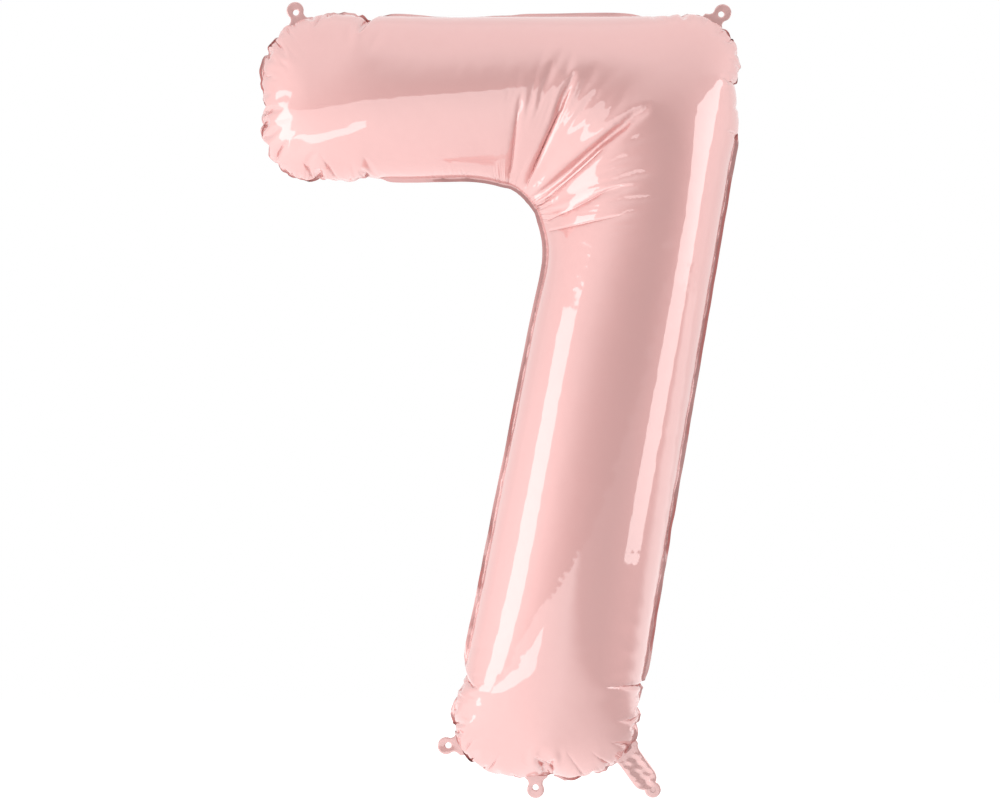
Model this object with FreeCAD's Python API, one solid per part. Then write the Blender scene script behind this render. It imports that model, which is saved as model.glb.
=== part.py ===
# Foil number balloon, the figure seven, blown up and hung by its tabs.
#
# Two die-cut sheets of foil film lie back to back and are welded round their edge. Gas pushes the
# middle of each sheet out into a half tube, and the welded margin stays flat in the plane Y = 0.
# Each sheet also carries one ply of four hanging tabs and one ply of the filling neck. A valve of two
# thin films is glued inside the neck and reaches into the balloon, where the gas presses it shut.
# Tabs and neck fold where they leave the margin, so each is a body of its own, hinged on that fold.
#
# Millimetres, +Z up, +X to the balloon's right, -Y to the front. The origin is the middle of the hole
# in the upper right tab, from which the balloon hangs, in the plane of the weld.
import FreeCAD
import Part
import math
import os

Vector = FreeCAD.Vector

# Film. The real film is about 0.05 mm thick, too thin for a solid of this size.
WALL = 0.6  # puffed wall of a sheet
PLY = 0.4  # one ply of the flat margin, a tab or the neck
VALVE_FILM = 0.15
ROOT_FLARE = 1.2  # how far the arcs beside a tab's or the neck's root stand out
MARGIN = 5.5  # width of the welded margin outside the seam

# The seam of the figure, seen from the front.
TOP_Z = -2.5
ARM_LEFT_X = -513.0
RIGHT_X = 17.0
ARM_HEIGHT = 180.5
INNER_CORNER_X = -178.0  # where the arm's underside would meet the leg's left edge
SHOULDER_Z = -129.0  # the right edge is upright above this and leans below it
FOOT_LEFT = (-308.5, -843.0)
FOOT_MIDDLE = (-198.0, -857.0)  # the foot's edge bows down between its corners
FOOT_RIGHT = (-105.5, -845.0)
ARM_TOP_RADIUS = 64.0
ARM_BOTTOM_RADIUS = 58.0
RIGHT_CORNER_RADIUS = 54.0
SHOULDER_RADIUS = 150.0
FOOT_RIGHT_RADIUS = 58.0
FOOT_MIDDLE_RADIUS = 260.0
FOOT_LEFT_RADIUS = 56.0
INNER_CORNER_RADIUS = 84.0

# How far the film stands out from the plane of the weld.
ARM_DEPTH = 86.0
CORNER_DEPTH = 106.0
LEG_DEPTH = 90.0
END_LENGTH = 78.0  # over which a blind end of the figure swells to its full depth
END_STEPS = (1.0, 2.6, 6.0, 12.0, 22.0, 36.0, 56.0)  # sections of a blind end, from its seam
ARM_SECTIONS = 4
FAN_SECTIONS = 20
LEG_SECTIONS = 9
ROUND_STEPS = 12

# Hanging tabs: the point of the seam that each leaves, and its direction in degrees from +X towards +Z.
TAB_SEAM_TO_HOLE = 12.0
TAB_SEAM_TO_HEAD = 14.5
TAB_HEAD_RADIUS = 9.6
TAB_HOLE_RADIUS = 3.3
TAB_WAIST = 17.0
TAB_ROOT_WIDTH = 24.0
TOP_RIGHT_ANGLE = 46.0
TABS = {
    "top_right_tab": (
        -TAB_SEAM_TO_HOLE * math.cos(math.radians(TOP_RIGHT_ANGLE)),
        -TAB_SEAM_TO_HOLE * math.sin(math.radians(TOP_RIGHT_ANGLE)),
        TOP_RIGHT_ANGLE,
    ),
    "top_left_tab": (-474.7, -7.7, 108.8),
    "bottom_left_tab": (-294.7, -819.8, 188.5),
    "bottom_middle_tab": (-208.4, -856.6, 270.0),
}

# Filling neck, measured along its own direction from its root on the seam.
NECK_ROOT = (-107.3, -828.6)
NECK_ANGLE = -54.0
NECK_WIDTH = 28.0
NECK_ROOT_WIDTH = 32.0
NECK_SHOULDER = 34.0  # its sides run straight this far
NECK_WAIST = 15.0
SHOULDER_BULGE = (1.2, 1.8)  # how far a shoulder's middle stands out, along the neck and across it
NECK_TO_HEAD = 52.0
NECK_HEAD_RADIUS = 9.1
FILLING_HOLE_RADIUS = 3.3
VALVE_WIDTH = 23.0
VALVE_END = 40.0  # the valve starts this far out along the neck, short of its shoulders
VALVE_REACH = 80.0  # and reaches this far into the balloon

# Folds. The fold line lies this far outside the seam, and the margin is cut back from it.
FOLD = 6.0
FOLD_GAP = 0.8

ARM_BOTTOM_Z = TOP_Z - ARM_HEIGHT
FAR = 200.0  # longer than any cut needs to be


def point(x, z, y=0.0):
    return Vector(x, y, z)


def rounded_outline(corners):
    """Closed wire in the plane Y = 0 through (x, z, radius) corners, each rounded by an arc."""
    edges = []
    arcs = []
    count = len(corners)
    for i, (x, z, radius) in enumerate(corners):
        here = point(x, z)
        before = point(*corners[i - 1][:2])
        after = point(*corners[(i + 1) % count][:2])
        back = (before - here).normalize()
        on = (after - here).normalize()
        half = back.getAngle(on) / 2
        reach = radius / math.tan(half)
        centre = here + (back + on).normalize() * (radius / math.sin(half))
        middle = centre + (here - centre).normalize() * radius
        arcs.append((here + back * reach, middle, here + on * reach))
    for i, (start, middle, end) in enumerate(arcs):
        edges.append(Part.Arc(start, middle, end).toShape())
        following = arcs[(i + 1) % count][0]
        if (following - end).Length > 1e-6:
            edges.append(Part.makeLine(end, following))
    return Part.Wire(edges)


def seam_outline():
    return rounded_outline(
        [
            (ARM_LEFT_X, TOP_Z, ARM_TOP_RADIUS),
            (RIGHT_X, TOP_Z, RIGHT_CORNER_RADIUS),
            (RIGHT_X, SHOULDER_Z, SHOULDER_RADIUS),
            (*FOOT_RIGHT, FOOT_RIGHT_RADIUS),
            (*FOOT_MIDDLE, FOOT_MIDDLE_RADIUS),
            (*FOOT_LEFT, FOOT_LEFT_RADIUS),
            (INNER_CORNER_X, ARM_BOTTOM_Z, INNER_CORNER_RADIUS),
            (ARM_LEFT_X, ARM_BOTTOM_Z, ARM_BOTTOM_RADIUS),
        ]
    )


def turned(angle):
    """Unit vector in the front plane at this many degrees from +X towards +Z."""
    return point(math.cos(math.radians(angle)), math.sin(math.radians(angle)))


def eased(share):
    """0 to 1 with no slope at either end."""
    return share * share * (3 - 2 * share)


def end_swell(distance):
    """Share of the full depth at this distance from the seam of a blind end."""
    left = max(0.0, 1 - distance / END_LENGTH)
    return math.sqrt(1 - left * left)


def stations(bottom_z):
    """Cutting lines across the figure, from the arm's end to the foot.

    Each is (point, direction, depth, inward). Inward says how far the film's thickness shifts it.
    """
    inner_corner = point(INNER_CORNER_X, ARM_BOTTOM_Z)
    leg_left = (point(*FOOT_LEFT) - inner_corner).normalize()
    leg_right = (point(*FOOT_RIGHT) - point(RIGHT_X, SHOULDER_Z)).normalize()
    leg_down = (leg_left + leg_right).normalize()
    across_leg = point(-leg_down.z, leg_down.x)
    leg_tilt = math.degrees(math.atan2(across_leg.z, across_leg.x))
    half_turn = leg_left.getAngle(Vector(-1, 0, 0)) / 2
    reach = INNER_CORNER_RADIUS / math.tan(half_turn)
    pivot = point(INNER_CORNER_X - reach, ARM_BOTTOM_Z - INNER_CORNER_RADIUS)
    up = point(0, 1)
    rows = []
    for step in END_STEPS:
        depth = ARM_DEPTH * end_swell(step)
        inward = point(1 - step / END_LENGTH, 0)
        rows.append((point(ARM_LEFT_X + step, ARM_BOTTOM_Z), up, depth, inward))
    arm_run = pivot.x - ARM_LEFT_X - END_LENGTH
    for i in range(ARM_SECTIONS):
        x = ARM_LEFT_X + END_LENGTH + arm_run * i / ARM_SECTIONS
        rows.append((point(x, ARM_BOTTOM_Z), up, ARM_DEPTH, Vector()))
    for i in range(FAN_SECTIONS + 1):
        share = i / FAN_SECTIONS
        angle = 90 + (leg_tilt - 90) * share
        start = ARM_DEPTH if share < 0.5 else LEG_DEPTH
        bulge = eased(1 - abs(2 * share - 1))
        depth = start + (CORNER_DEPTH - start) * bulge
        rows.append((pivot, turned(angle), depth, Vector()))
    foot = pivot + leg_down * ((bottom_z - pivot.z) / leg_down.z)
    leg_run = (foot - pivot).Length - END_LENGTH
    for i in range(1, LEG_SECTIONS + 1):
        down = leg_down * (leg_run * i / LEG_SECTIONS)
        rows.append((pivot + down, across_leg, LEG_DEPTH, Vector()))
    for step in reversed(END_STEPS):
        share = step / END_LENGTH
        level = turned(leg_tilt * share)  # the last sections turn parallel to the foot
        inward = leg_down * (step / END_LENGTH - 1)
        rows.append((foot - leg_down * step, level, LEG_DEPTH * end_swell(step), inward))
    return rows


def chord_of(face, through, direction):
    """Both ends of a cutting line's own stretch of the figure. It may cross the figure again further off."""
    line = Part.makeLine(through - direction * FAR * 4, through + direction * FAR * 4)
    ends = sorted((v.Point for v in face.common(line).Vertexes), key=lambda p: (p - through).dot(direction))
    pairs = [(ends[i], ends[i + 1]) for i in range(0, len(ends) - 1, 2)]
    return max(pairs, key=lambda pair: ((pair[0] + pair[1]) / 2 - through).dot(direction))


def swollen_half(face, inset):
    """Closed solid of the balloon's front half, drawn in by inset from the film's outer surface."""
    grid = []
    for through, direction, depth, inward in stations(face.BoundBox.ZMin):
        low, high = chord_of(face, through, direction)
        centre = (low + high) / 2 + inward * inset
        half = (high - low).Length / 2 - inset
        row = []
        for k in range(ROUND_STEPS + 1):
            turn = math.pi * k / ROUND_STEPS
            y = 0.0 if k in (0, ROUND_STEPS) else (inset - depth) * math.sin(turn)
            row.append(centre + direction * (half * math.cos(turn)) + Vector(0, y, 0))
        grid.append(row)
    surface = Part.BSplineSurface()
    surface.interpolate(grid)
    skin = surface.toShape()
    rims = [edge for edge in skin.Edges if edge.BoundBox.YLength < 1e-4]
    arches = [edge for edge in skin.Edges if edge.BoundBox.YLength >= 1e-4]
    sills = [Part.makeLine(arch.Vertexes[0].Point, arch.Vertexes[-1].Point) for arch in arches]
    faces = [skin] + [Part.Face(Part.Wire([arch, sill])) for arch, sill in zip(arches, sills)]
    faces.append(Part.Face(Part.Wire(Part.sortEdges(rims + sills)[0])))
    return Part.Solid(Part.Shell(faces))


def slab(faces, low_y, high_y):
    """Faces in the plane Y = 0 made into one solid between two depths."""
    solids = []
    for face in faces:
        moved = face.copy()
        moved.translate(Vector(0, low_y, 0))
        solids.append(moved.extrude(Vector(0, high_y - low_y, 0)))
    if len(solids) == 1:
        return solids[0]
    return solids[0].fuse(solids[1:]).removeSplitter()


def strip(origin, angle, start, end, width):
    """Rectangular face along a direction, from start to end, with this width."""
    along = turned(angle)
    across = turned(angle + 90) * (width / 2)
    near = origin + along * start
    far = origin + along * end
    return Part.Face(Part.makePolygon([near - across, far - across, far + across, near + across, near - across]))


def disc(centre, radius):
    return Part.Face(Part.Wire([Part.makeCircle(radius, centre, Vector(0, 1, 0))]))


def flared_root(origin, angle, waist, root_width):
    """The margin's land under a tab or the neck, wide at the seam and narrow at the fold."""
    along = turned(angle)
    across = turned(angle + 90)
    inside = origin - along * FOLD
    fold = origin + along * FOLD
    bend = origin + along * (FOLD / 3)
    half_root = across * (root_width / 2)
    half_waist = across * (waist / 2)
    left = Part.Arc(fold + half_waist, bend + half_waist + across * ROOT_FLARE, origin + half_root).toShape()
    right = Part.Arc(origin - half_root, bend - half_waist - across * ROOT_FLARE, fold - half_waist).toShape()
    edges = [
        left,
        Part.makeLine(origin + half_root, inside + half_root),
        Part.makeLine(inside + half_root, inside - half_root),
        Part.makeLine(inside - half_root, origin - half_root),
        right,
        Part.makeLine(fold - half_waist, fold + half_waist),
    ]
    return Part.Face(Part.Wire(edges))


def roots():
    """Every tab and the neck: name, seam point, direction, waist at the fold, width at the seam."""
    found = [
        (name, point(x, z), angle, TAB_WAIST, TAB_ROOT_WIDTH) for name, (x, z, angle) in TABS.items()
    ]
    found.append(("neck", point(*NECK_ROOT), NECK_ANGLE, NECK_WIDTH, NECK_ROOT_WIDTH))
    return found


def margin_ply(seam):
    """The front sheet's margin, with a land under each tab, cut straight short of each fold."""
    faces = [Part.Face(seam.makeOffset2D(MARGIN))]
    faces += [flared_root(origin, angle, waist, width) for _, origin, angle, waist, width in roots()]
    ply = slab(faces, -PLY, 0.0)
    for _, origin, angle, _, width in roots():
        ply = ply.cut(slab([strip(origin, angle, FOLD - FOLD_GAP, FOLD * 4, width + 4)], -2 * PLY, PLY))
    return ply


def valve_pocket():
    along = strip(point(*NECK_ROOT), NECK_ANGLE, -VALVE_REACH - FOLD, VALVE_END, VALVE_WIDTH)
    return slab([along], -VALVE_FILM, VALVE_FILM)


def foil_sheets(seam):
    """The front and back sheets: each is a puffed half shell with its flat margin."""
    seam_face = Part.Face(seam)
    outer = swollen_half(seam_face, 0.0)
    inner = swollen_half(seam_face, WALL)
    ply = margin_ply(seam).cut(inner)
    front = outer.cut(inner).fuse(ply)
    back = front.mirror(Vector(0, 0, 0), Vector(0, 1, 0))
    pocket = valve_pocket()
    return {"front_foil": front.cut(pocket), "back_foil": back.cut(pocket)}


def tab_ply(origin, angle, low_y, high_y):
    """One ply of a thumb-shaped tab, from its fold to its round head, with its hole."""
    along = turned(angle)
    head = origin + along * TAB_SEAM_TO_HEAD
    shank = strip(origin, angle, FOLD, TAB_SEAM_TO_HEAD, TAB_WAIST)
    ply = slab([shank, disc(head, TAB_HEAD_RADIUS)], low_y, high_y)
    hole = disc(origin + along * TAB_SEAM_TO_HOLE, TAB_HOLE_RADIUS)
    ply = ply.cut(slab([hole], low_y - PLY, high_y + PLY))
    behind_fold = strip(origin, angle, 0.0, FOLD, TAB_ROOT_WIDTH)
    return ply.cut(slab([behind_fold], low_y - PLY, high_y + PLY))


def tab_plies():
    plies = {}
    for name, (x, z, angle) in TABS.items():
        plies[name + "_front_ply"] = tab_ply(point(x, z), angle, -PLY, 0.0)
        plies[name + "_back_ply"] = tab_ply(point(x, z), angle, 0.0, PLY)
    return plies


def neck_ply(low_y, high_y):
    """One ply of the neck from its fold: straight sides, shoulders drawn in, and a round head."""
    origin = point(*NECK_ROOT)
    along = turned(NECK_ANGLE)
    across = turned(NECK_ANGLE + 90)
    start = origin + along * FOLD
    shoulder = origin + along * NECK_SHOULDER
    head = origin + along * NECK_TO_HEAD
    waist = origin + along * (NECK_TO_HEAD - NECK_HEAD_RADIUS / 2)
    sides = []
    for side in (1, -1):
        edge = across * (side * NECK_WIDTH / 2)
        drawn_in = across * (side * NECK_WAIST / 2)
        out, wide = SHOULDER_BULGE
        halfway = (shoulder + edge + waist + drawn_in) / 2 + along * out + across * (side * wide)
        sides.append((start + edge, shoulder + edge, halfway, waist + drawn_in))
    left, right = sides
    outline = Part.Wire(
        [
            Part.makeLine(left[0], left[1]),
            Part.Arc(left[1], left[2], left[3]).toShape(),
            Part.makeLine(left[3], right[3]),
            Part.Arc(right[3], right[2], right[1]).toShape(),
            Part.makeLine(right[1], right[0]),
            Part.makeLine(right[0], left[0]),
        ]
    )
    ply = slab([Part.Face(outline), disc(head, NECK_HEAD_RADIUS)], low_y, high_y)
    return ply.cut(valve_pocket())


def neck_plies():
    head = point(*NECK_ROOT) + turned(NECK_ANGLE) * NECK_TO_HEAD
    filling_hole = slab([disc(head, FILLING_HOLE_RADIUS)], -2 * PLY, 0.0)
    return {
        "neck_front_ply": neck_ply(-PLY, 0.0).cut(filling_hole),
        "neck_back_ply": neck_ply(0.0, PLY),
    }


def valve_films():
    """Each film is cut at the neck's fold, so that the outer length moves with the neck."""
    origin = point(*NECK_ROOT)
    outside = strip(origin, NECK_ANGLE, FOLD, VALVE_END, VALVE_WIDTH)
    inside = strip(origin, NECK_ANGLE, -VALVE_REACH, FOLD - FOLD_GAP, VALVE_WIDTH)
    films = {}
    for side, low_y, high_y in (("front", -VALVE_FILM, 0.0), ("back", 0.0, VALVE_FILM)):
        films["valve_" + side + "_film"] = slab([outside], low_y, high_y)
        films["valve_inner_" + side + "_film"] = slab([inside], low_y, high_y)
    return films


def main():
    os.makedirs("parts", exist_ok=True)
    seam = seam_outline()
    nodes = {}
    nodes.update(foil_sheets(seam))
    nodes.update(tab_plies())
    nodes.update(neck_plies())
    nodes.update(valve_films())
    for name, shape in nodes.items():
        solids = shape.Solids
        print(name, len(solids), shape.isValid(), round(sum(s.Volume for s in solids), 1))
        Part.makeCompound(solids).exportStep(os.path.join("parts", name + ".step"))


main()
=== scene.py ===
"""Foil number balloon, the figure seven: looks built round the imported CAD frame.

The film is blown up here from a flat pattern by a small cloth solver, which gives the gathers round
the weld and the creases of the inner corner. Its weld is then laid on the CAD's outline.
Lengths in this file are millimetres until a mesh is made; meshes are in metres.
"""

import math

import bmesh  # noqa: E402
import bpy  # noqa: E402
import numpy as np  # noqa: E402
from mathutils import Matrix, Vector  # noqa: E402
from mathutils.bvhtree import BVHTree  # noqa: E402
from mathutils.geometry import delaunay_2d_cdt  # noqa: E402
from mathutils.kdtree import KDTree  # noqa: E402


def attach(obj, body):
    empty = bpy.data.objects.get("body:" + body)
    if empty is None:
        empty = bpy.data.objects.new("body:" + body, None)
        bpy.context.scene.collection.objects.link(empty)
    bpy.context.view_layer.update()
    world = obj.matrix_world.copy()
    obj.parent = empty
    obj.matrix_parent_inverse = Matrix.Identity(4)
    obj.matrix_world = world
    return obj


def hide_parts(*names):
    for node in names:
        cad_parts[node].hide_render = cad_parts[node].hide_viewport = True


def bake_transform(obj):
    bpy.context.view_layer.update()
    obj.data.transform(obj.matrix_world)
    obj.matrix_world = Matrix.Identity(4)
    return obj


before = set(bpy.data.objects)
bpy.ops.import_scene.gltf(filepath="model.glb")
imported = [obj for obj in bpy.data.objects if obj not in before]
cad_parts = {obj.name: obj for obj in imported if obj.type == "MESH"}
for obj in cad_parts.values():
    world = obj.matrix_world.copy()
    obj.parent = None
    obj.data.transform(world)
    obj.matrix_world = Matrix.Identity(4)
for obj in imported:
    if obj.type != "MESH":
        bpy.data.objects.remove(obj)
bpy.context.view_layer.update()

MM = 0.001

# The weld's outline on the blown-up balloon, as in the CAD: x, z, corner radius.
WELD = (
    (-513.0, -2.5, 64.0),
    (17.0, -2.5, 54.0),
    (17.0, -129.0, 150.0),
    (-105.5, -845.0, 58.0),
    (-198.0, -857.0, 260.0),
    (-308.5, -843.0, 56.0),
    (-178.0, -183.0, 84.0),
    (-513.0, -183.0, 58.0),
)
# The same weld on the flat, empty balloon, which is wider all round: x, z, corner radius, and how far
# in from that corner its gathers reach.
PATTERN = (
    (-556.0, 115.0, 130.0, 45.0),
    (50.0, 20.0, 110.0, 40.0),
    (56.0, -138.0, 150.0, 5.0),
    (-43.0, -912.0, 118.0, 55.0),
    (-347.0, -912.0, 118.0, 50.0),
    (-229.0, -192.0, 40.0, 110.0),
    (-556.0, -152.0, 125.0, 50.0),
)
INNER = 5  # which of those corners is the inner one
COARSE, FINE = 9.0, 3.3  # between neighbouring points of the film, away from and at the gathers
FIRST_FILM = 10.0  # the same, all over the film that is blown up first
SPACING_GROWTH = 0.07  # how fast that spacing grows away from the gathers
SPACING_STEP = 1.3  # between one level of the spacing and the next
POINT_AREA = 27.0  # the film's area that a unit of push acts on
# How the two films are blown up: steps, push of the gas, share of its speed that the film keeps.
FIRST_STAGES = ((400, 0.0062, 0.98), (500, 0.0019, 0.98), (300, 0.00094, 0.97))
FINE_STAGES = ((400, 0.004, 0.97), (500, 0.003, 0.96))
FIRST_BEND = 0.02  # how much the first film resists bending
FINE_BEND, INNER_BEND = 0.012, 0.03  # the same for the fine film, and for it round the inner corner
STIFF_REACH, STIFF_FADE = 60.0, 40.0  # how far from that corner, and over what length it gives way
# The deeper creases of the blown-up balloon: x and z of its root by the weld, direction, length.
CREASES = (
    # round the inner corner
    (-234, -176, 82, 63),
    (-217, -191, 64, 83),
    (-200, -213, 38, 89),
    (-192, -231, 25, 76),
    (-191, -244, 10, 81),
    # up the foot's right side, and along its bottom
    (-87, -749, 177, 42),
    (-92, -790, 172, 27),
    (-102, -820, 157, 28),
    (-126, -842, 135, 33),
    (-158, -851, 118, 35),
    (-256, -846, 63, 24),
    (-287, -823, 50, 16),
    (-290, -752, 8, 15),
    # round the arm's end
    (-446, -3, -109, 18),
    (-483, -14, -66, 12),
    (-502, -27, -41, 16),
    (-514, -67, -8, 15),
    (-516, -114, 23, 19),
    (-498, -159, 50, 18),
    (-463, -186, 101, 24),
    (-433, -184, 116, 34),
    # down the right side
    (15, -35, 170, 11),
    (16, -82, 171, 13),
    (15, -137, 175, 11),
)
NOTCH_GAP = 18.0  # between the small creases round the gathered corners, on the flat
NOTCH_DEPTH = (8, 20)  # least and most
NOTCH_CLEAR = 9.0  # from a small crease to a deeper one's root
NOTCH_REACH = 25.0  # how far from a corner's arc the last of them can be
PINCH = 1.6  # how hard a crease is drawn in, against the gas
CREASES_APART = 4.5  # on the flat, from one crease's points to another's
SLIVER = 0.2  # a triangle with less than this, twice its area, is dropped
CREASE_SIDE = 1.5  # from a crease to the rows of points beside it
CREASE_DEPTH = 1.6  # how much deeper than the gas leaves it a crease is made
ROOT_REACH = 22.0  # how far along the weld a tab or the neck keeps it flat
MARGIN_ROWS = (2.4, 5.2)  # how far outside the weld the margin's points lie
MARGIN_HALF = 0.2  # half the thickness of the margin's two plies
CALM_REACH = 22.0  # a shape smoothed over this length of the weld has no gathers left
BATCH = 4000  # points measured against the whole weld at once

# Root on the weld, and direction in degrees from +X towards +Z, of each tab and of the neck.
TAB_TO_HOLE = 12.0
TABS = {
    "top_right_tab": (-8.336, -8.632, 46.0),
    "top_left_tab": (-474.7, -7.7, 108.8),
    "bottom_left_tab": (-294.7, -819.8, 188.5),
    "bottom_middle_tab": (-208.4, -856.6, 270.0),
}
NECK = (-107.3, -828.6, -54.0)
FOLD = 6.0  # from the root to the fold line, along the tab
HOLE_RADIUS = 3.3
NECK_TO_HOLE = 52.0
VALVE_HALF = 11.5
VALVE_END = 40.0  # where the sleeve ends, short of the neck's shoulders
PATCH_SPACING = 1.3  # between neighbouring points of a tab, the neck or the sleeve


# ---------------------------------------------------------------- flat shapes


def arcs(corners):
    """The arc at each (x, z, radius, ...) corner of a closed outline, as points."""
    places = [np.array(c[:2]) for c in corners]
    found = []
    for i, here in enumerate(places):
        radius = corners[i][2]
        back = places[i - 1] - here
        on = places[(i + 1) % len(places)] - here
        back = back / np.linalg.norm(back)
        on = on / np.linalg.norm(on)
        half = math.acos(float(back @ on)) / 2
        reach = radius / math.tan(half)
        centre = here + (back + on) / np.linalg.norm(back + on) * radius / math.sin(half)
        start = here + back * reach - centre
        end = here + on * reach - centre
        first = math.atan2(start[1], start[0])
        sweep = math.atan2(end[1], end[0]) - first
        sweep = (sweep + math.pi) % (2 * math.pi) - math.pi
        turn = first + sweep * np.linspace(0, 1, 60)
        found.append(centre + radius * np.stack([np.cos(turn), np.sin(turn)], 1))
    return found


def spread(line, spacing, closed=True):
    """A polyline with its points spaced evenly, or by a spacing that depends on the place."""
    if closed:
        line = np.vstack([line, line[:1]])
    run = np.concatenate([[0], np.cumsum(np.linalg.norm(np.diff(line, axis=0), axis=1))])
    fine = np.linspace(0, run[-1], max(8, int(2 * run[-1])))
    dense = np.stack([np.interp(fine, run, line[:, 0]), np.interp(fine, run, line[:, 1])], 1)
    gap = spacing(dense) if callable(spacing) else np.full(len(dense), float(spacing))
    count = np.concatenate([[0], np.cumsum(np.diff(fine) / (gap[1:] + gap[:-1]) * 2)])
    steps = max(1, int(round(count[-1])))
    at = np.linspace(0, count[-1], steps + 1)
    if closed:
        at = at[:-1]
    return np.stack([np.interp(at, count, dense[:, 0]), np.interp(at, count, dense[:, 1])], 1)


def rounded(corners, spacing):
    """Closed polyline round (x, z, radius) corners."""
    return spread(np.vstack(arcs(corners)), spacing)


def film_size(points):
    """How far apart the film's points are wanted: finely spaced where it gathers."""
    wanted = np.full(len(points), COARSE)
    for arc, corner in zip(arcs(PATTERN), PATTERN):
        beyond = np.maximum(0, distance(arc[::2], points) - corner[3])
        wanted = np.minimum(wanted, FINE + SPACING_GROWTH * beyond)
    return wanted


def outward(line):
    """Unit normals of a closed polyline, pointing out."""
    step = np.roll(line, -1, 0) - np.roll(line, 1, 0)
    normal = np.stack([step[:, 1], -step[:, 0]], 1)
    normal /= np.linalg.norm(normal, axis=1)[:, None]
    following = np.roll(line, -1, 0)
    area = np.sum(line[:, 0] * following[:, 1] - following[:, 0] * line[:, 1])
    return normal if area > 0 else -normal


def inside(line, points):
    x, z = points[:, 0], points[:, 1]
    odd = np.zeros(len(points), bool)
    for (x0, z0), (x1, z1) in zip(line, np.roll(line, -1, 0)):
        if z0 != z1:
            odd ^= ((z0 > z) != (z1 > z)) & (x < (x1 - x0) * (z - z0) / (z1 - z0) + x0)
    return odd


def distance(line, points):
    """From each point to the nearest point of the polyline."""
    best = np.full(len(points), 1e12)
    for x, z in line:
        best = np.minimum(best, (points[:, 0] - x) ** 2 + (points[:, 1] - z) ** 2)
    return np.sqrt(best)


def nearest(points, wanted):
    """From each wanted place, how far away the nearest of the points is."""
    tree = KDTree(len(points))
    for k, (x, z) in enumerate(points.tolist()):
        tree.insert((x, z, 0), k)
    tree.balance()
    return np.array([tree.find((x, z, 0))[2] for x, z in wanted.tolist()])


def lattice(line, spacing, rng, clear=0.62, taken=None):
    """Slightly uneven triangular lattice of points inside a closed polyline, clear of those taken."""
    low, high = line.min(0) - COARSE, line.max(0) + COARSE
    levels = [spacing]
    if callable(spacing):
        count = int(round(math.log(COARSE / FINE) / math.log(SPACING_STEP)))
        levels = [FINE * (COARSE / FINE) ** (k / count) for k in range(count + 1)]
    kept = line if taken is None else np.vstack([line, taken])
    fixed = len(kept)
    for level in levels:
        columns = np.arange(low[0], high[0], level)
        rows = np.arange(low[1], high[1], level * math.sqrt(3) / 2)
        x, z = np.meshgrid(columns, rows)
        x = x + (np.arange(len(rows)) % 2)[:, None] * level / 2
        grid = np.stack([x.ravel(), z.ravel()], 1)
        grid += rng.uniform(-0.16, 0.16, grid.shape) * level
        if callable(spacing):
            wanted = np.log(spacing(grid) / level) / math.log(levels[1] / levels[0])
            fits = (wanted >= -0.5) & (wanted < 0.5)
            grid = grid[fits]
        grid = grid[inside(line, grid)]
        kept = np.vstack([kept, grid[nearest(kept, grid) > clear * level]])
    return kept[fixed:]


def twice_area(flat, faces):
    """Twice each flat triangle's area, with a sign that says which way its points run."""
    a, b, c = (flat[faces[:, k]] for k in range(3))
    return (b[:, 0] - a[:, 0]) * (c[:, 1] - a[:, 1]) - (b[:, 1] - a[:, 1]) * (c[:, 0] - a[:, 0])


def lies_between(place, a, b):
    return (place - a).length + (place - b).length < (a - b).length + 1e-3


def triangles(points, rings, lines=()):
    """Delaunay triangles of the points, keeping the edges of rings, and of open lines that don't cross."""
    fixed = [(int(a), int(b)) for ring in rings for a, b in zip(ring, np.roll(ring, -1))]
    free = [(int(a), int(b)) for line in lines for a, b in zip(line, line[1:])]
    places = [Vector(p) for p in points.tolist()]
    while True:
        found = delaunay_2d_cdt(places, fixed + free, [], 0, 1e-7)
        crossings = [place for place, source in zip(found[0], found[3]) if not source]
        if not crossings:
            break
        through = [any(lies_between(place, places[a], places[b]) for place in crossings) for a, b in free]
        if not any(through):
            raise ValueError(f"the outline crosses itself at {crossings[0]}")
        free = [edge for edge, crossed in zip(free, through) if not crossed]
    source = np.array([ids[0] for ids in found[3]])
    return source[np.array(found[2])]


# ---------------------------------------------------------------- blowing the film up


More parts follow.
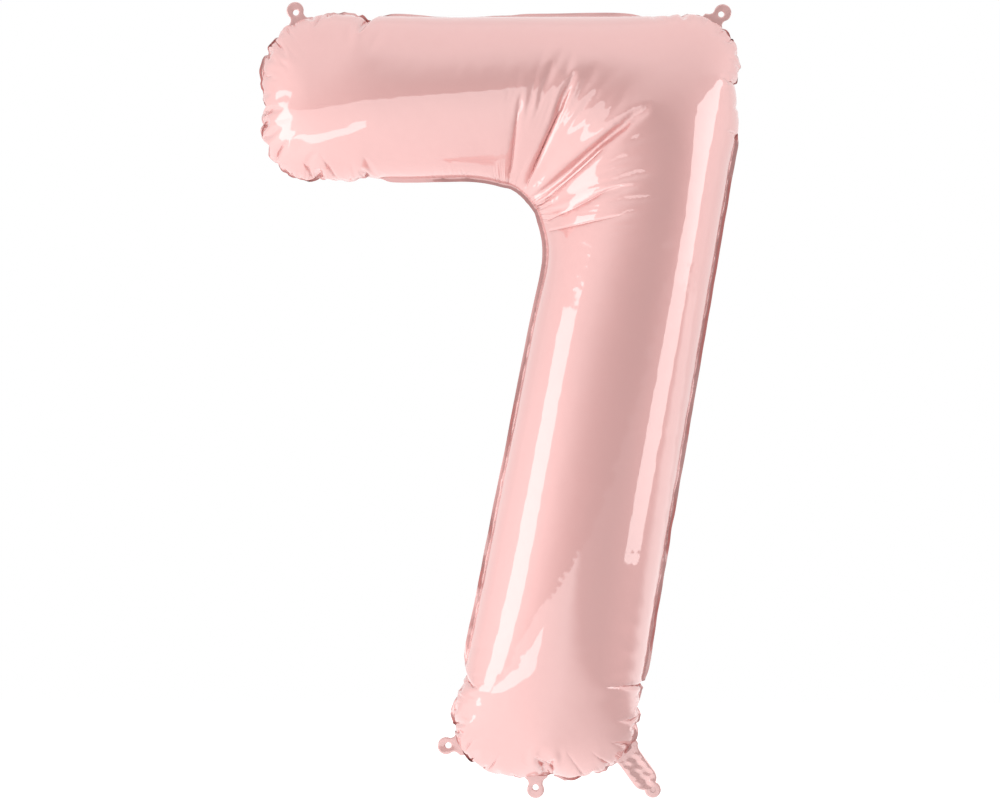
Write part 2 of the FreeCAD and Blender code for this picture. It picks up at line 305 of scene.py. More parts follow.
class Film:
    """Both sheets on the flat: the weld's points, each sheet's inner points, then the margin's.

    creases are lines on the flat, from the weld inwards, along which the film is to fold.
    """

    def __init__(self, spacing, rng, creases=()):
        weld = rounded(PATTERN, spacing)
        n_weld = len(weld)
        start, lines, on_lines, beside = n_weld, [], [], []
        for crease in creases:
            points = spread(crease, spacing, closed=False)
            points = points[inside(weld, points)]
            points = points[nearest(weld, points) > 0.5 * FINE]
            if on_lines:
                points = points[nearest(np.vstack(on_lines), points) > CREASES_APART]
            if len(points) < 2:
                continue
            lines.append(np.arange(start, start + len(points)))
            on_lines.append(points)
            start += len(points)
            step = np.gradient(points, axis=0)
            square = np.stack([step[:, 1], -step[:, 0]], 1)
            square /= np.linalg.norm(square, axis=1)[:, None]
            beside += [points + square * CREASE_SIDE, points - square * CREASE_SIDE]
        taken = np.vstack([*on_lines, *beside]) if on_lines else np.zeros((0, 2))
        if on_lines:
            apart = np.ones(len(taken), bool)
            for k in range(start - n_weld, len(taken)):
                gap = np.hypot(*(taken[:k][apart[:k]] - taken[k]).T)
                apart[k] = gap.min() > 0.8 * CREASE_SIDE
            taken = taken[apart & inside(weld, taken)]
        inner = np.vstack([taken, lattice(weld, spacing, rng, taken=taken)])
        normal = outward(weld)
        rows = [weld + normal * out for out in MARGIN_ROWS]
        points = np.vstack([weld, inner, *rows])
        n_inner = len(inner)
        rim = np.arange(len(points) - n_weld, len(points))
        found = triangles(points, [np.arange(n_weld), rim], lines)
        found = found[np.abs(twice_area(points, found)) > SLIVER]
        middle = points[found].mean(1)
        film = found[inside(weld, middle)]
        margin = found[inside(points[rim], middle) & ~inside(weld, middle)]
        self.n_weld, self.n_inner = n_weld, n_inner
        self.flat = np.vstack([weld, inner, inner, *rows])
        self.total = len(self.flat)
        to_back = np.arange(len(points))
        to_back[n_weld : n_weld + n_inner] += n_inner
        shift = np.arange(len(points))
        shift[n_weld + n_inner :] += n_inner
        self.front = self.facing(film, -1)
        self.back = self.facing(to_back[film], 1)
        self.margin = self.facing(shift[margin], -1)
        self.rim = shift[rim]
        self.front_inner = np.arange(n_weld, n_weld + n_inner)
        self.back_inner = self.front_inner + n_inner
        self.margin_points = np.arange(n_weld + 2 * n_inner, self.total)
        self.lines = lines
        self.line_of = np.full(self.total, -1)
        for k, line in enumerate(lines):
            self.line_of[line] = k
            self.line_of[line + n_inner] = k + len(lines)
        self.roots = [np.argmin(((weld - points[line[0]]) ** 2).sum(1)) for line in lines]

    def drawn_in(self):
        """What the gas's push on each point is multiplied by: below nothing along the creases."""
        factor = np.ones(self.total)
        for line, root in zip(self.lines, self.roots):
            hold = -PINCH * (1 - np.linspace(0, 1, len(line)) ** 2)
            factor[root] = -PINCH
            factor[line] = hold
            factor[line + self.n_inner] = hold
        return factor[:, None].astype(np.float32)

    def facing(self, faces, side):
        """Triangles wound so that they face the front (-1) or the back (1)."""
        wrong = twice_area(self.flat, faces) * side > 0
        faces = faces.copy()
        faces[wrong] = faces[wrong][:, ::-1]
        return faces

    def links(self):
        """Edges, and pairs of points across an edge, with their lengths on the flat."""
        faces = np.vstack([self.front, self.back, self.margin])
        ends = np.vstack([faces[:, [0, 1]], faces[:, [1, 2]], faces[:, [2, 0]]])
        ends.sort(axis=1)
        far = np.concatenate([faces[:, 2], faces[:, 0], faces[:, 1]])
        order = np.lexsort((ends[:, 1], ends[:, 0]))
        ends, far = ends[order], far[order]
        same = np.all(ends[1:] == ends[:-1], axis=1)
        edges = ends[np.concatenate([[True], ~same])]
        k = np.nonzero(same)[0]
        across = np.stack([far[k], far[k + 1]], 1)
        first, second = self.line_of[ends[k]].T
        folds = (first >= 0) & (first == second)
        across = across[(self.length(across) > 0.9 * self.length(ends[k])) & ~folds]
        return edges, across

    def length(self, pairs):
        return np.linalg.norm(self.flat[pairs[:, 0]] - self.flat[pairs[:, 1]], axis=1)


def batches(film, pairs):
    """Pairs sorted into batches in which no point comes twice, each with its flat lengths."""
    used = [0] * film.total
    colour = np.zeros(len(pairs), int)
    for k, (a, b) in enumerate(pairs.tolist()):
        taken = used[a] | used[b]
        c = 0
        while taken >> c & 1:
            c += 1
        used[a] |= 1 << c
        used[b] |= 1 << c
        colour[k] = c
    length = film.length(pairs).astype(np.float32)
    sets = [np.nonzero(colour == c)[0] for c in range(colour.max() + 1)]
    return [(pairs[s, 0], pairs[s, 1], length[s]) for s in sets]


def settle(film, places, stages, bend, bend_inside):
    """Gas pushes the film out; every edge keeps its length. stages: (steps, push, drag).

    bend_inside is the film's stiffness round the inner corner, and bend everywhere else.
    """
    from_corner = distance(arcs(PATTERN)[INNER], film.flat)
    share = np.clip((from_corner - STIFF_REACH) / STIFF_FADE, 0, 1)
    hold = (bend_inside + (bend - bend_inside) * share).astype(np.float32)
    edges, across = film.links()
    edge_sets, bend_sets = batches(film, edges), batches(film, across)
    faces = np.vstack([film.front, film.back])
    corner = faces.T.ravel()
    a, b, c = (faces[:, k] for k in range(3))
    scale = 1 / (6 * POINT_AREA)
    factor = film.drawn_in()
    now = places.astype(np.float32)
    before = now.copy()
    push = np.zeros_like(now)
    count = 0
    for steps, strength, drag in stages:
        for _ in range(steps):
            if count % 3 == 0:
                first = now[a]
                normal = np.cross(now[b] - first, now[c] - first)
                for k in range(3):
                    push[:, k] = np.bincount(corner, np.tile(normal[:, k], 3), film.total) * scale
                push *= factor
            moved = now + (now - before) * np.float32(drag) + push * np.float32(strength)
            before, now = now, moved
            for i, j, length in edge_sets:
                gap = now[j] - now[i]
                size = np.sqrt(np.einsum("ij,ij->i", gap, gap))
                share = (size - length) / size
                share *= np.where(share > 0, np.float32(0.5), np.float32(0.3))
                gap *= share[:, None]
                now[i] += gap
                now[j] -= gap
            if count % 2 == 0:
                for i, j, length in bend_sets:
                    gap = now[j] - now[i]
                    size = np.sqrt(np.einsum("ij,ij->i", gap, gap))
                    share = np.minimum(0, (size - length) / size) * hold[i]
                    gap *= share[:, None]
                    now[i] += gap
                    now[j] -= gap
            count += 1
    return now.astype(float)


def first_places(film, rng):
    places = np.zeros((film.total, 3))
    places[:, 0], places[:, 2] = film.flat[:, 0], film.flat[:, 1]
    weld = film.flat[: film.n_weld]
    lift = 2 * np.minimum(1, distance(weld, film.flat[film.front_inner]) / 40)
    places[film.front_inner, 1] = -lift + rng.normal(0, 0.25, film.n_inner)
    places[film.back_inner, 1] = lift + rng.normal(0, 0.25, film.n_inner)
    return places


def read_at(flat, faces, values, wanted):
    """Values given at the corners of flat triangles, read at other places of the same plane."""
    tree = BVHTree.FromPolygons([Vector((x, z, 0)) for x, z in flat.tolist()], faces.tolist())
    result = []
    for x, z in wanted.tolist():
        index = tree.find_nearest(Vector((x, z, 0)))[2]
        a, b, c = faces[index]
        (ax, az), (bx, bz), (cx, cz) = flat[a], flat[b], flat[c]
        area = (bx - ax) * (cz - az) - (bz - az) * (cx - ax)
        v = ((x - ax) * (cz - az) - (z - az) * (cx - ax)) / area
        w = ((bx - ax) * (z - az) - (bz - az) * (x - ax)) / area
        v, w = min(1.0, max(0.0, v)), min(1.0, max(0.0, w))
        result.append((1 - v - w) * values[a] + v * values[b] + w * values[c])
    return np.array(result)


def carried_over(coarse, places, fine):
    """The coarse film's shape, read at the fine film's points."""
    result = np.zeros((fine.total, 3))
    weld_and_margin = np.concatenate([np.arange(fine.n_weld), fine.margin_points])
    jobs = (
        (coarse.front, fine.front_inner),
        (coarse.back, fine.back_inner),
        (np.vstack([coarse.front, coarse.margin]), weld_and_margin),
    )
    for faces, wanted in jobs:
        result[wanted] = read_at(coarse.flat, faces, places, fine.flat[wanted])
    return result


def ironed(film, places, rounds):
    """The film's shape with its gathers smoothed away."""
    edges, _ = film.links()
    count = np.bincount(edges.ravel(), minlength=film.total)[:, None]
    flat_weld = film.flat[: film.n_weld]
    result = places.copy()
    result[: film.n_weld] = smoothed_along(flat_weld, places[: film.n_weld], 24.0)
    result[: film.n_weld, 1] = 0
    for row in film.margin_points.reshape(len(MARGIN_ROWS), -1):
        result[row] = smoothed_along(flat_weld, places[row], 24.0)
        result[row, 1] = 0
    inner = np.concatenate([film.front_inner, film.back_inner])
    for _ in range(rounds):
        total = np.zeros_like(result)
        np.add.at(total, edges[:, 0], result[edges[:, 1]])
        np.add.at(total, edges[:, 1], result[edges[:, 0]])
        eased = result + 0.6 * (total / count - result)
        result[inner] = eased[inner]
    return result


def notches(weld, creases, kept_flat, rng):
    """Small creases on the flat, square to the weld, round the corners that gather."""
    normal = outward(weld)
    roots = np.array([line[0] for line in creases])
    off = distance(kept_flat, weld)
    found = []
    for arc, corner in zip(arcs(PATTERN), PATTERN):
        if not 20 < corner[3] < 100:
            continue
        near = np.nonzero(distance(arc, weld) < NOTCH_REACH)[0]
        gap = 0.0
        for k in near:
            gap += np.linalg.norm(weld[k] - weld[k - 1])
            too_near = distance(roots, weld[k : k + 1])[0] < NOTCH_CLEAR or off[k] < ROOT_REACH
            if gap < NOTCH_GAP * rng.uniform(0.8, 1.25) or too_near:
                continue
            gap = 0.0
            depth = rng.uniform(*NOTCH_DEPTH)
            found.append(np.array([weld[k], weld[k] - normal[k] * depth]))
    return found


def smoothed_along(line, values, reach):
    """Values round a closed line of points, smoothed over this length each way."""
    step = np.linalg.norm(np.roll(line, -1, 0) - line, axis=1)
    run = np.concatenate([[0], np.cumsum(step)])
    gap = np.abs(run[:-1, None] - run[None, :-1])
    gap = np.minimum(gap, run[-1] - gap)
    weight = np.exp(-0.5 * (gap / reach) ** 2) * (step + np.roll(step, 1))[None]
    return weight @ values / weight.sum(1)[:, None]


def laid_on_weld(film, places):
    """The blown-up film eased sideways until its weld follows the CAD's, keeping every gather."""
    target = rounded(WELD, 1.5)
    flat_weld = film.flat[: film.n_weld]
    share = np.linalg.norm(np.roll(flat_weld, -1, 0) - np.roll(flat_weld, 1, 0), axis=1)
    result = places.copy()
    for _ in range(3):
        calm = smoothed_along(flat_weld, result[: film.n_weld][:, [0, 2]], CALM_REACH)
        reached = np.array([target[np.argmin(((target - p) ** 2).sum(1))] for p in calm])
        shift = smoothed_along(flat_weld, reached - calm, CALM_REACH)
        for start in range(0, film.total, BATCH):
            part = slice(start, start + BATCH)
            gap = film.flat[part][:, None] - flat_weld[None]
            weight = share / ((gap**2).sum(2) + 60.0) ** 1.5
            weight /= weight.sum(1)[:, None]
            result[part, 0] += weight @ shift[:, 0]
            result[part, 2] += weight @ shift[:, 1]
    result[:, 1] -= places[: film.n_weld, 1].mean()
    return result


def calm_margin(film, places):
    """The margin's points eased so that it stands off the weld evenly."""
    result = places.copy()
    weld = places[: film.n_weld]
    for row in film.margin_points.reshape(len(MARGIN_ROWS), -1):
        result[row] = weld + smoothed_along(film.flat[: film.n_weld], places[row] - weld, 5.0)
    return result


def deepened(film, places):
    """The creases drawn in a little further, square to the film."""
    result = places.copy()
    for faces, shift in ((film.front, 0), (film.back, film.n_inner)):
        a, b, c = (places[faces[:, k]] for k in range(3))
        normal = np.zeros_like(places)
        for k in range(3):
            np.add.at(normal, faces[:, k], np.cross(b - a, c - a))
        for line in film.lines:
            here = line + shift
            out = normal[here] / np.linalg.norm(normal[here], axis=1)[:, None]
            share = 1 - np.linspace(0, 1, len(line)) ** 2
            result[here] -= out * (CREASE_DEPTH * share)[:, None]
    return result


def anchored(film, places):
    """The weld brought onto the CAD's, and flat, where a tab or the neck leaves it."""
    target = rounded(WELD, 1.0)
    weld = places[: film.n_weld]
    move = np.zeros_like(weld)
    for x, z, _ in (*TABS.values(), NECK):
        gap = weld[:, [0, 2]] - np.array([x, z])
        share = np.exp(-((gap**2).sum(1) / ROOT_REACH**2))
        for k in np.nonzero(share > 0.02)[0]:
            on = target[np.argmin(((target - weld[k, [0, 2]]) ** 2).sum(1))]
            move[k] = np.array([on[0], 0, on[1]]) - weld[k]
            move[k] *= share[k]
    moved = np.nonzero(np.abs(move).sum(1) > 0)[0]
    gap = film.flat[:, None] - film.flat[moved][None]
    far = (gap**2).sum(2)
    first = far.argmin(1)
    share = np.exp(-far[np.arange(film.total), first] / 10.0**2)
    return places + move[moved][first] * share[:, None]


def blown_up():
    """First a coarse film, which gives the shape, then a fine one with the creases."""
    rng = np.random.default_rng(7)
    coarse = Film(FIRST_FILM, rng)
    places = settle(coarse, first_places(coarse, rng), FIRST_STAGES, FIRST_BEND, FIRST_BEND)
    laid = laid_on_weld(coarse, places)
    creases = []
    for x, z, direction, length in CREASES:
        line = np.array([x, z]) + directions(direction)[0] * np.linspace(0, length, 4)[:, None]
        creases.append(read_at(laid[:, [0, 2]], coarse.front, coarse.flat, line))
    roots = np.array([root[:2] for root in (*TABS.values(), NECK)])
    roots = read_at(laid[:, [0, 2]], np.vstack([coarse.front, coarse.margin]), coarse.flat, roots)
    creases += notches(rounded(PATTERN, film_size), creases, roots, rng)
    fine = Film(film_size, rng, creases)
    places = carried_over(coarse, ironed(coarse, places, 6), fine)
    places += rng.normal(0, 0.05, (fine.total, 3))
    places = settle(fine, places, FINE_STAGES, FINE_BEND, INNER_BEND)
    places = deepened(fine, calm_margin(fine, laid_on_weld(fine, places)))
    return fine, anchored(fine, places)


# ---------------------------------------------------------------- meshes


def object_from(name, points, faces):
    """A smooth mesh object in metres from points in millimetres, without its unused points."""
    faces = np.asarray(faces)
    used = np.unique(faces)
    index = np.zeros(len(points), int)
    index[used] = np.arange(len(used))
    mesh = bpy.data.meshes.new(name)
    mesh.from_pydata((points[used] * MM).tolist(), [], index[faces].tolist())
    mesh.shade_smooth()
    piece = bpy.data.objects.new(name, mesh)
    bpy.context.scene.collection.objects.link(piece)
    return piece, index


def gather_map(film):
    """For each point of the film: how far round the weld it is, in metres, and how rippled it is."""
    weld = film.flat[: film.n_weld]
    step = np.linalg.norm(np.roll(weld, -1, 0) - weld, axis=1)
    around = np.concatenate([[0], np.cumsum(step)[:-1]])
    near, off = np.zeros(film.total), np.zeros(film.total)
    for start in range(0, film.total, BATCH):
        part = slice(start, start + BATCH)
        gap = ((film.flat[part][:, None] - weld[None]) ** 2).sum(2)
        first = gap.argmin(1)
        ahead, behind = (first + 1) % len(weld), first - 1
        rows = np.arange(len(first))
        lean = (gap[rows, behind] - gap[rows, ahead]) / (4 * np.maximum(step[first], 1.0))
        near[part] = around[first] + lean
        off[part] = np.sqrt(gap[rows, first])
    strength = np.zeros(film.total)
    for arc, corner in zip(arcs(PATTERN), PATTERN):
        if corner[3] < 20:
            continue
        from_arc = distance(arc, film.flat)
        beyond = np.clip(1.3 - from_arc / (0.8 * corner[3]), 0, 1)
        strength = np.maximum(strength, beyond)
    patchy = 0.55 + 0.45 * np.sin(near / 13.0 + 2.0 * np.sin(near / 31.0))
    strength *= np.clip(1.15 - off / (14 + 22 * patchy), 0, 1) * patchy
    return near * MM, strength


def sheet_object(name, film, places, side):
    """One sheet: its puffed film and its own face of the margin."""
    faces = film.front if side < 0 else film.back
    margin = film.margin if side < 0 else film.margin[:, ::-1]
    points = places.copy()
    a, b, c = (places[film.margin[:, k]] for k in range(3))
    normal = np.cross(b - a, c - a)
    total = np.zeros_like(places)
    for k in range(3):
        np.add.at(total, film.margin[:, k], normal)
    size = np.linalg.norm(total, axis=1)
    size[size == 0] = 1
    lift = np.zeros(film.total)
    lift[film.margin_points] = MARGIN_HALF
    lift[film.rim] = 0.02
    points += total / size[:, None] * (-side * lift)[:, None]
    piece, index = object_from(name, points, np.vstack([faces, margin]))
    mesh = piece.data
    weld = index[np.arange(film.n_weld)]
    sharp = set(zip(weld.tolist(), np.roll(weld, -1).tolist()))
    folds = set()
    for line in film.lines:
        on = index[line + (film.n_inner if side > 0 else 0)].tolist()
        folds |= set(zip(on, on[1:]))
    hold = mesh.attributes.new("crease_edge", "FLOAT", "EDGE")
    for k, edge in enumerate(mesh.edges):
        p, q = edge.vertices
        if (p, q) in sharp or (q, p) in sharp:
            edge.use_edge_sharp = True
        if (p, q) in folds or (q, p) in folds:
            hold.data[k].value = 0.9
    # The margin's faces take the second material, which is painted darker as shade.
    mesh.polygons.foreach_set("material_index", [0] * len(faces) + [1] * len(margin))
    run, strength = gather_map(film)
    used = np.unique(np.vstack([faces, margin]))
    corner = np.empty(len(mesh.loops), int)
    mesh.loops.foreach_get("vertex_index", corner)
    layer = mesh.uv_layers.new(name="gathers")
    both = np.stack([run[used][corner], strength[used][corner]], 1)
    layer.data.foreach_set("uv", both.ravel())
    smooth = piece.modifiers.new("smooth", "SUBSURF")
    smooth.levels = smooth.render_levels = 1
    return piece


def directions(angle):
    turn = math.radians(angle)
    return np.array([math.cos(turn), math.sin(turn)]), np.array([-math.sin(turn), math.cos(turn)])


def patch_object(name, root, outline, hole, half, height, through=True):
    """A flat film piece of two plies, in its own (along, across) frame at a root on the weld.

    hole is (along, radius) or None; where it isn't through, it's cut in the front ply only.
    half is half its thickness, and height gives its rise towards +Y at (along, across).
    """
    rng = np.random.default_rng(3)
    edge = spread(np.array(outline, float), PATCH_SPACING)
    inner = lattice(edge, PATCH_SPACING, rng, 0.55)
    rings = [np.arange(len(edge))]
    stack = [edge]
    n_hole = 0
    if hole:
        turn = np.linspace(0, 2 * math.pi, 36, endpoint=False)
        ring = np.stack([hole[0] + hole[1] * np.cos(turn), hole[1] * np.sin(turn)], 1)
        gap = np.hypot(inner[:, 0] - hole[0], inner[:, 1])
        inner = inner[np.abs(gap - hole[1]) > 0.4 * PATCH_SPACING]
        stack.append(ring)
        n_hole = len(ring)
        rings.append(np.arange(len(edge), len(edge) + n_hole))
    points = np.vstack([*stack, inner])
    found = triangles(points, rings)
    middle = points[found].mean(1)
    found = found[inside(edge, middle)]
    middle = points[found].mean(1)
    in_hole = np.zeros(len(found), bool)
    if hole:
        in_hole = np.hypot(middle[:, 0] - hole[0], middle[:, 1]) < hole[1]
    along, across = directions(root[2])
    flat = np.array(root[:2]) + points[:, :1] * along + points[:, 1:] * across
    rise = np.array([height(s, t) for s, t in points.tolist()])
    thin = np.full(len(points), half)
    thin[: len(edge)] = half * 0.35
    front = np.stack([flat[:, 0], rise - thin, flat[:, 1]], 1)
    back = np.stack([flat[:, 0], rise + thin, flat[:, 1]], 1)
    count = len(points)
    backwards = twice_area(flat, found) < 0
    found[backwards] = found[backwards][:, ::-1]
    faces = [found[~in_hole], (found[~in_hole if through else slice(None)] + count)[:, ::-1]]
    rim = []
    for start, size, sign in ((0, len(edge), 1), (len(edge), n_hole, -1)):
        if start and not through:
            continue
        for k in range(size):
            p, q = start + k, start + (k + 1) % size
            rim += [[p, p + count, q], [q, p + count, q + count]][::sign]
    faces.append(np.array(rim))
    piece, _ = object_from(name, np.vstack([front, back]), np.vstack(faces))
    mesh = piece.data
    work = bmesh.new()
    work.from_mesh(mesh)
    bmesh.ops.recalc_face_normals(work, faces=work.faces)
    work.to_mesh(mesh)
    work.free()
    return piece


def tab_outline():
    """A thumb-shaped tab: wide where it leaves the weld, a waist at the fold, a round head."""
    head, radius, waist, root = 14.5, 9.7, 8.0, 13.5
    side = [(-5.0, root)]
    for k in range(13):
        share = k / 12
        s = 0.4 + 7.2 * share
        side.append((s, waist + (root - waist) * (1 - math.sin(share * math.pi / 2)) ** 1.3))
    lead = math.asin(waist / radius)
    for k in range(17):
        turn = math.pi - lead - (math.pi - lead) * k / 16
        side.append((head + radius * math.cos(turn), radius * math.sin(turn)))
    return side + [(s, -t) for s, t in reversed(side[:-1])]


def neck_outline():
    """Straight sides from a slightly flared root, shoulders drawn in, and a round head."""
    half, waist, shoulder, head, radius = 14.0, 7.5, 34.0, NECK_TO_HOLE, 9.1
    flare = ((-5.0, 4.0), (0.0, 3.5), (2.0, 1.6), (4.5, 0.5), (8.0, 0.0))
    side = [(s, half + more) for s, more in flare] + [(shoulder, half)]
    for k in range(1, 10):
        share = k / 10
        side.append((shoulder + 13.45 * share, half + (waist - half) * share**2.6))
    for k in range(13):
        turn = math.radians(120) * (1 - k / 12)
        side.append((head + radius * math.cos(turn), radius * math.sin(turn)))
    return side + [(s, -t) for s, t in reversed(side[:-1])]


# ---------------------------------------------------------------- materials


def foil(name, colour, rough, wave=0.0, crinkle=0.0, gathers=0.0):
    """Pearly metallised film under a glossy coat, a little uneven in colour, gloss and surface."""
    material = bpy.data.materials.new(name)
    material.use_nodes = True
    nodes, links = material.node_tree.nodes, material.node_tree.links
    shader = nodes["Principled BSDF"]
    shader.inputs["Metallic"].default_value = 0.8
    shader.inputs["Coat Weight"].default_value = 1.0
    shader.inputs["Coat IOR"].default_value = 2.5
    shader.inputs["Coat Roughness"].default_value = 0.04
    where = nodes.new("ShaderNodeTexCoord")

    def noise(scale, detail):
        node = nodes.new("ShaderNodeTexNoise")
        node.inputs["Scale"].default_value = scale
        node.inputs["Detail"].default_value = detail
        links.new(where.outputs["Object"], node.inputs["Vector"])
        return node.outputs["Fac"]

    def bump(height, strength, distance, under=None):
        node = nodes.new("ShaderNodeBump")
        node.inputs["Strength"].default_value = strength
        node.inputs["Distance"].default_value = distance
        links.new(height, node.inputs["Height"])
        if under:
            links.new(under, node.inputs["Normal"])
        return node.outputs["Normal"]

    tint = nodes.new("ShaderNodeValToRGB")
    for element, place, share in zip(tint.color_ramp.elements, (0.3, 0.7), (0.975, 1.015)):
        element.position = place
        element.color = (*[min(1, c * share) for c in colour], 1)
    links.new(noise(6.0, 3.0), tint.inputs["Fac"])
    links.new(tint.outputs["Color"], shader.inputs["Base Color"])
    gloss = nodes.new("ShaderNodeMapRange")
    gloss.inputs["To Min"].default_value = rough * 0.93
    gloss.inputs["To Max"].default_value = rough * 1.07
    links.new(noise(90.0, 4.0), gloss.inputs["Value"])
    links.new(gloss.outputs["Result"], shader.inputs["Roughness"])
    surface = bump(noise(24.0, 2.0), wave, 0.002) if wave else None
    if crinkle:
        surface = bump(noise(300.0, 2.0), crinkle, 0.0006, surface)
    if gathers:
        around = nodes.new("ShaderNodeUVMap")
        around.uv_map = "gathers"
        split = nodes.new("ShaderNodeSeparateXYZ")
        links.new(around.outputs["UV"], split.inputs["Vector"])
        ripples = nodes.new("ShaderNodeTexNoise")
        ripples.noise_dimensions = "1D"
        ripples.inputs["Scale"].default_value = 190.0
        ripples.inputs["Detail"].default_value = 1.0
        links.new(split.outputs["X"], ripples.inputs["W"])
        deep = nodes.new("ShaderNodeMath")
        deep.operation = "MULTIPLY"
        links.new(ripples.outputs["Fac"], deep.inputs[0])
        links.new(split.outputs["Y"], deep.inputs[1])
        surface = bump(deep.outputs["Value"], 1.0, gathers, surface)
    if surface:
        for socket in ("Normal", "Coat Normal"):
            links.new(surface, shader.inputs[socket])
    return material


def dress(piece, *materials):
    held = piece.data.materials
    for k, material in enumerate(materials):
        if k < len(held):
            held[k] = material
        else:
            held.append(material)


# ---------------------------------------------------------------- the balloon

body_foil = foil("pearl_foil", (0.80, 0.42, 0.40), 0.57, wave=0.06, gathers=0.004)
# The margin is the same foil as the film; its darker colour is painted shade of the valley between the two
# bulging sheets.
weld_foil_painted_shade = foil("weld_painted_shade", (0.60, 0.25, 0.235), 0.40, wave=0.06)
tab_foil = foil("tab_foil", (0.76, 0.40, 0.38), 0.50, crinkle=0.12)
neck_foil = foil("neck_foil", (0.78, 0.42, 0.40), 0.40, crinkle=0.25)
valve_film = foil("valve_film", (0.86, 0.74, 0.72), 0.50, crinkle=0.10)

film, places = blown_up()
for side, name, node in ((-1, "front_sheet", "front_foil"), (1, "back_sheet", "back_foil")):
    sheet = sheet_object(name, film, places, side)
    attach(sheet, "balloon")
    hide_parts(node)
    dress(sheet, body_foil, weld_foil_painted_shade)

for k, (name, root) in enumerate(TABS.items()):
    lean = 0.4 * math.sin(2.1 * k + 0.6)

    def tab_height(s, t, lean=lean, k=k):
        grow = max(0.0, s - 2.0)
        return lean * grow * 0.12 + 0.25 * math.sin(0.35 * t + k) * min(1, grow / 8)

    hole = (TAB_TO_HOLE, HOLE_RADIUS)
    tab = patch_object(name + "_film", root, tab_outline(), hole, 0.25, tab_height)
    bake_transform(tab)
    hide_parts(name + "_front_ply", name + "_back_ply")
    dress(tab, tab_foil)


def neck_height(s, t):
    """Crinkles of the neck: long pulls from its root, and puckers over the shoulders."""
    fade = min(1.0, max(0.0, (s - FOLD) / 5)) * (1.0 if s < 44 else max(0.0, 1 - (s - 44) / 8))
    pulls = 0.55 * math.sin(0.30 * t + 0.05 * s) + 0.28 * math.sin(0.62 * t - 0.12 * s + 1.0)
    puckers = 0.26 * math.sin(0.36 * s + 0.30 * t) + 0.16 * math.sin(0.66 * s - 0.45 * t + 2.0)
    return fade * (pulls + puckers)


filling_hole = (NECK_TO_HOLE, HOLE_RADIUS)
neck = patch_object("filling_neck_film", NECK, neck_outline(), filling_hole, 0.5, neck_height, False)
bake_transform(neck)
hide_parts("neck_front_ply", "neck_back_ply")
dress(neck, neck_foil)

sleeve_outline = [(FOLD, -VALVE_HALF), (VALVE_END, -VALVE_HALF), (VALVE_END, VALVE_HALF), (FOLD, VALVE_HALF)]
sleeve = patch_object("valve_sleeve", NECK, sleeve_outline, None, 0.12, neck_height)
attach(sleeve, "filling_neck")
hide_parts("valve_front_film", "valve_back_film")
dress(sleeve, valve_film)

for node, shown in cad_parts.items():
    if node.startswith("valve_inner"):
        dress(shown, valve_film)


# ---------------------------------------------------------------- stage, lights and camera


def grey(value):
    return (value, value, value, 1)


def emissive(name, strength):
    """A material that only glows. Returns it with its emission shader."""
    material = bpy.data.materials.new(name)
    material.use_nodes = True
    nodes, links = material.node_tree.nodes, material.node_tree.links
    nodes.clear()
    glow = nodes.new("ShaderNodeEmission")
    glow.inputs["Strength"].default_value = strength
    out = nodes.new("ShaderNodeOutputMaterial")
    links.new(glow.outputs["Emission"], out.inputs["Surface"])
    return material, glow


def plane(name, corners, material):
    mesh = bpy.data.meshes.new(name)
    mesh.from_pydata(corners, [], [(0, 1, 2, 3)])
    mesh.materials.append(material)
    piece = bpy.data.objects.new(name, mesh)
    bpy.context.scene.collection.objects.link(piece)
    return piece


def softbox(name, azimuth, elevation, away, width, height, radiance):
    """A soft light round the balloon's middle. Azimuth 0 is in front, and it grows to the right."""
    turn, lift = math.radians(azimuth), math.radians(elevation)
    out = Vector((math.sin(turn) * math.cos(lift), -math.cos(turn) * math.cos(lift), math.sin(lift)))
    data = bpy.data.lights.new(name, "AREA")
    data.shape = "RECTANGLE"
    data.size, data.size_y = width, height
    data.energy = radiance * math.pi * width * height
    lamp = bpy.data.objects.new(name, data)
    bpy.context.scene.collection.objects.link(lamp)
    lamp.location = MIDDLE + out * away
    lamp.rotation_euler = (-out).to_track_quat("-Z", "Y").to_euler()
    return lamp


def studio(darkest):
    """World light: bright at the sides and overhead, darker towards the side the camera stands on."""
    world = bpy.data.worlds.new("studio")
    bpy.context.scene.world = world
    world.use_nodes = True
    nodes, links = world.node_tree.nodes, world.node_tree.links
    where = nodes.new("ShaderNodeTexCoord")
    facing = nodes.new("ShaderNodeVectorMath")
    facing.operation = "DOT_PRODUCT"
    facing.inputs[1].default_value = darkest
    links.new(where.outputs["Generated"], facing.inputs[0])
    ramp = nodes.new("ShaderNodeValToRGB")
    ramp.color_ramp.interpolation = "B_SPLINE"
    first, last = ramp.color_ramp.elements
    first.position, first.color = 0.0, grey(1.0)
    last.position, last.color = 1.0, grey(0.40)
    ramp.color_ramp.elements.new(0.40).color = grey(0.98)
    ramp.color_ramp.elements.new(0.75).color = grey(0.49)
    links.new(facing.outputs["Value"], ramp.inputs["Fac"])
    links.new(ramp.outputs["Color"], nodes["Background"].inputs["Color"])
    nodes["Background"].inputs["Strength"].default_value = 1.12


MIDDLE = Vector((-0.2484, 0.0, -0.433))
FLOOR_Z, WALL_Y, STAGE = -1.10, 3.0, 6.0

studio((math.sin(math.radians(20)), -math.cos(math.radians(20)), -0.45))
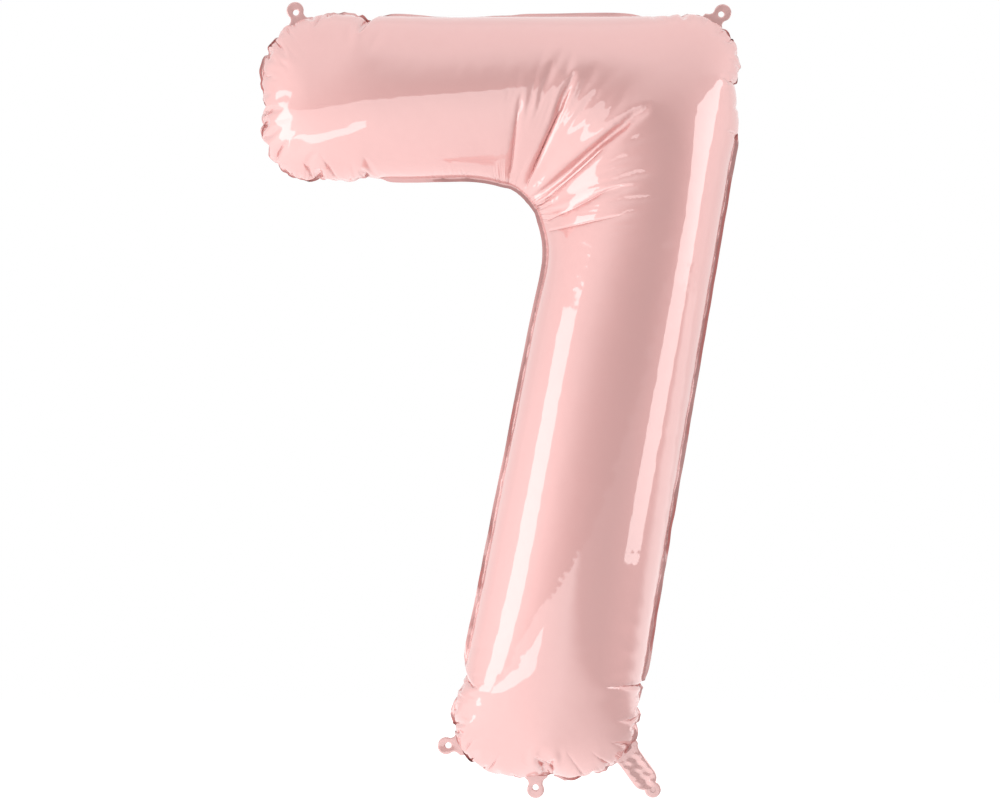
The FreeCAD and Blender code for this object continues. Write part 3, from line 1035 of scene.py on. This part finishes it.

# The floor glows as painted light for the foil to reflect: brightest to the left and towards the back, and
# dimmed by painted shade to the right and towards the front.
floor_painted_light, floor_glow = emissive("floor_painted_light", 1.0)
nodes, links = floor_painted_light.node_tree.nodes, floor_painted_light.node_tree.links
where = nodes.new("ShaderNodeTexCoord")
place = nodes.new("ShaderNodeSeparateXYZ")
links.new(where.outputs["Object"], place.inputs["Vector"])
shadows = []
for axis, (bright, dim) in (("X", (-0.25, 0.45)), ("Y", (1.0, 0.2))):
    shadow = nodes.new("ShaderNodeMapRange")
    shadow.interpolation_type = "SMOOTHSTEP"
    shadow.inputs["From Min"].default_value = bright
    shadow.inputs["From Max"].default_value = dim
    links.new(place.outputs[axis], shadow.inputs["Value"])
    shadows.append(shadow)
both = nodes.new("ShaderNodeMath")
both.operation = "MULTIPLY"
for k, shadow in enumerate(shadows):
    links.new(shadow.outputs["Result"], both.inputs[k])
shade = nodes.new("ShaderNodeMapRange")
shade.inputs["To Min"].default_value = 1.30
shade.inputs["To Max"].default_value = 0.60
links.new(both.outputs["Value"], shade.inputs["Value"])
links.new(shade.outputs["Result"], floor_glow.inputs["Strength"])
plane(
    "floor",
    [(-STAGE, -STAGE, FLOOR_Z), (STAGE, -STAGE, FLOOR_Z), (STAGE, STAGE, FLOOR_Z), (-STAGE, STAGE, FLOOR_Z)],
    floor_painted_light,
)
plane(
    "backdrop",
    [(-STAGE, WALL_Y, -STAGE), (STAGE, WALL_Y, -STAGE), (STAGE, WALL_Y, STAGE), (-STAGE, WALL_Y, STAGE)],
    emissive("backdrop_white", 1.0)[0],
)

softbox("left_box", -70.0, -1.8, 1.5, 0.70, 1.20, 1.2)
softbox("low_box", -38.0, -22.0, 1.6, 0.92, 0.30, 1.0)
softbox("right_box", 76.0, 2.6, 1.5, 0.64, 1.13, 1.3)

camera_data = bpy.data.cameras.new("camera")
camera = bpy.data.objects.new("camera", camera_data)
bpy.context.scene.collection.objects.link(camera)
camera_data.lens = 100
camera_data.sensor_width = 36
side_view = math.radians(1.5)
reach = 3.125
camera.location = MIDDLE + Vector((reach * math.sin(side_view), -reach * math.cos(side_view), 0))
camera.rotation_euler = (math.pi / 2, 0, side_view)
bpy.context.scene.camera = camera
bpy.context.scene.view_settings.view_transform = "Standard"
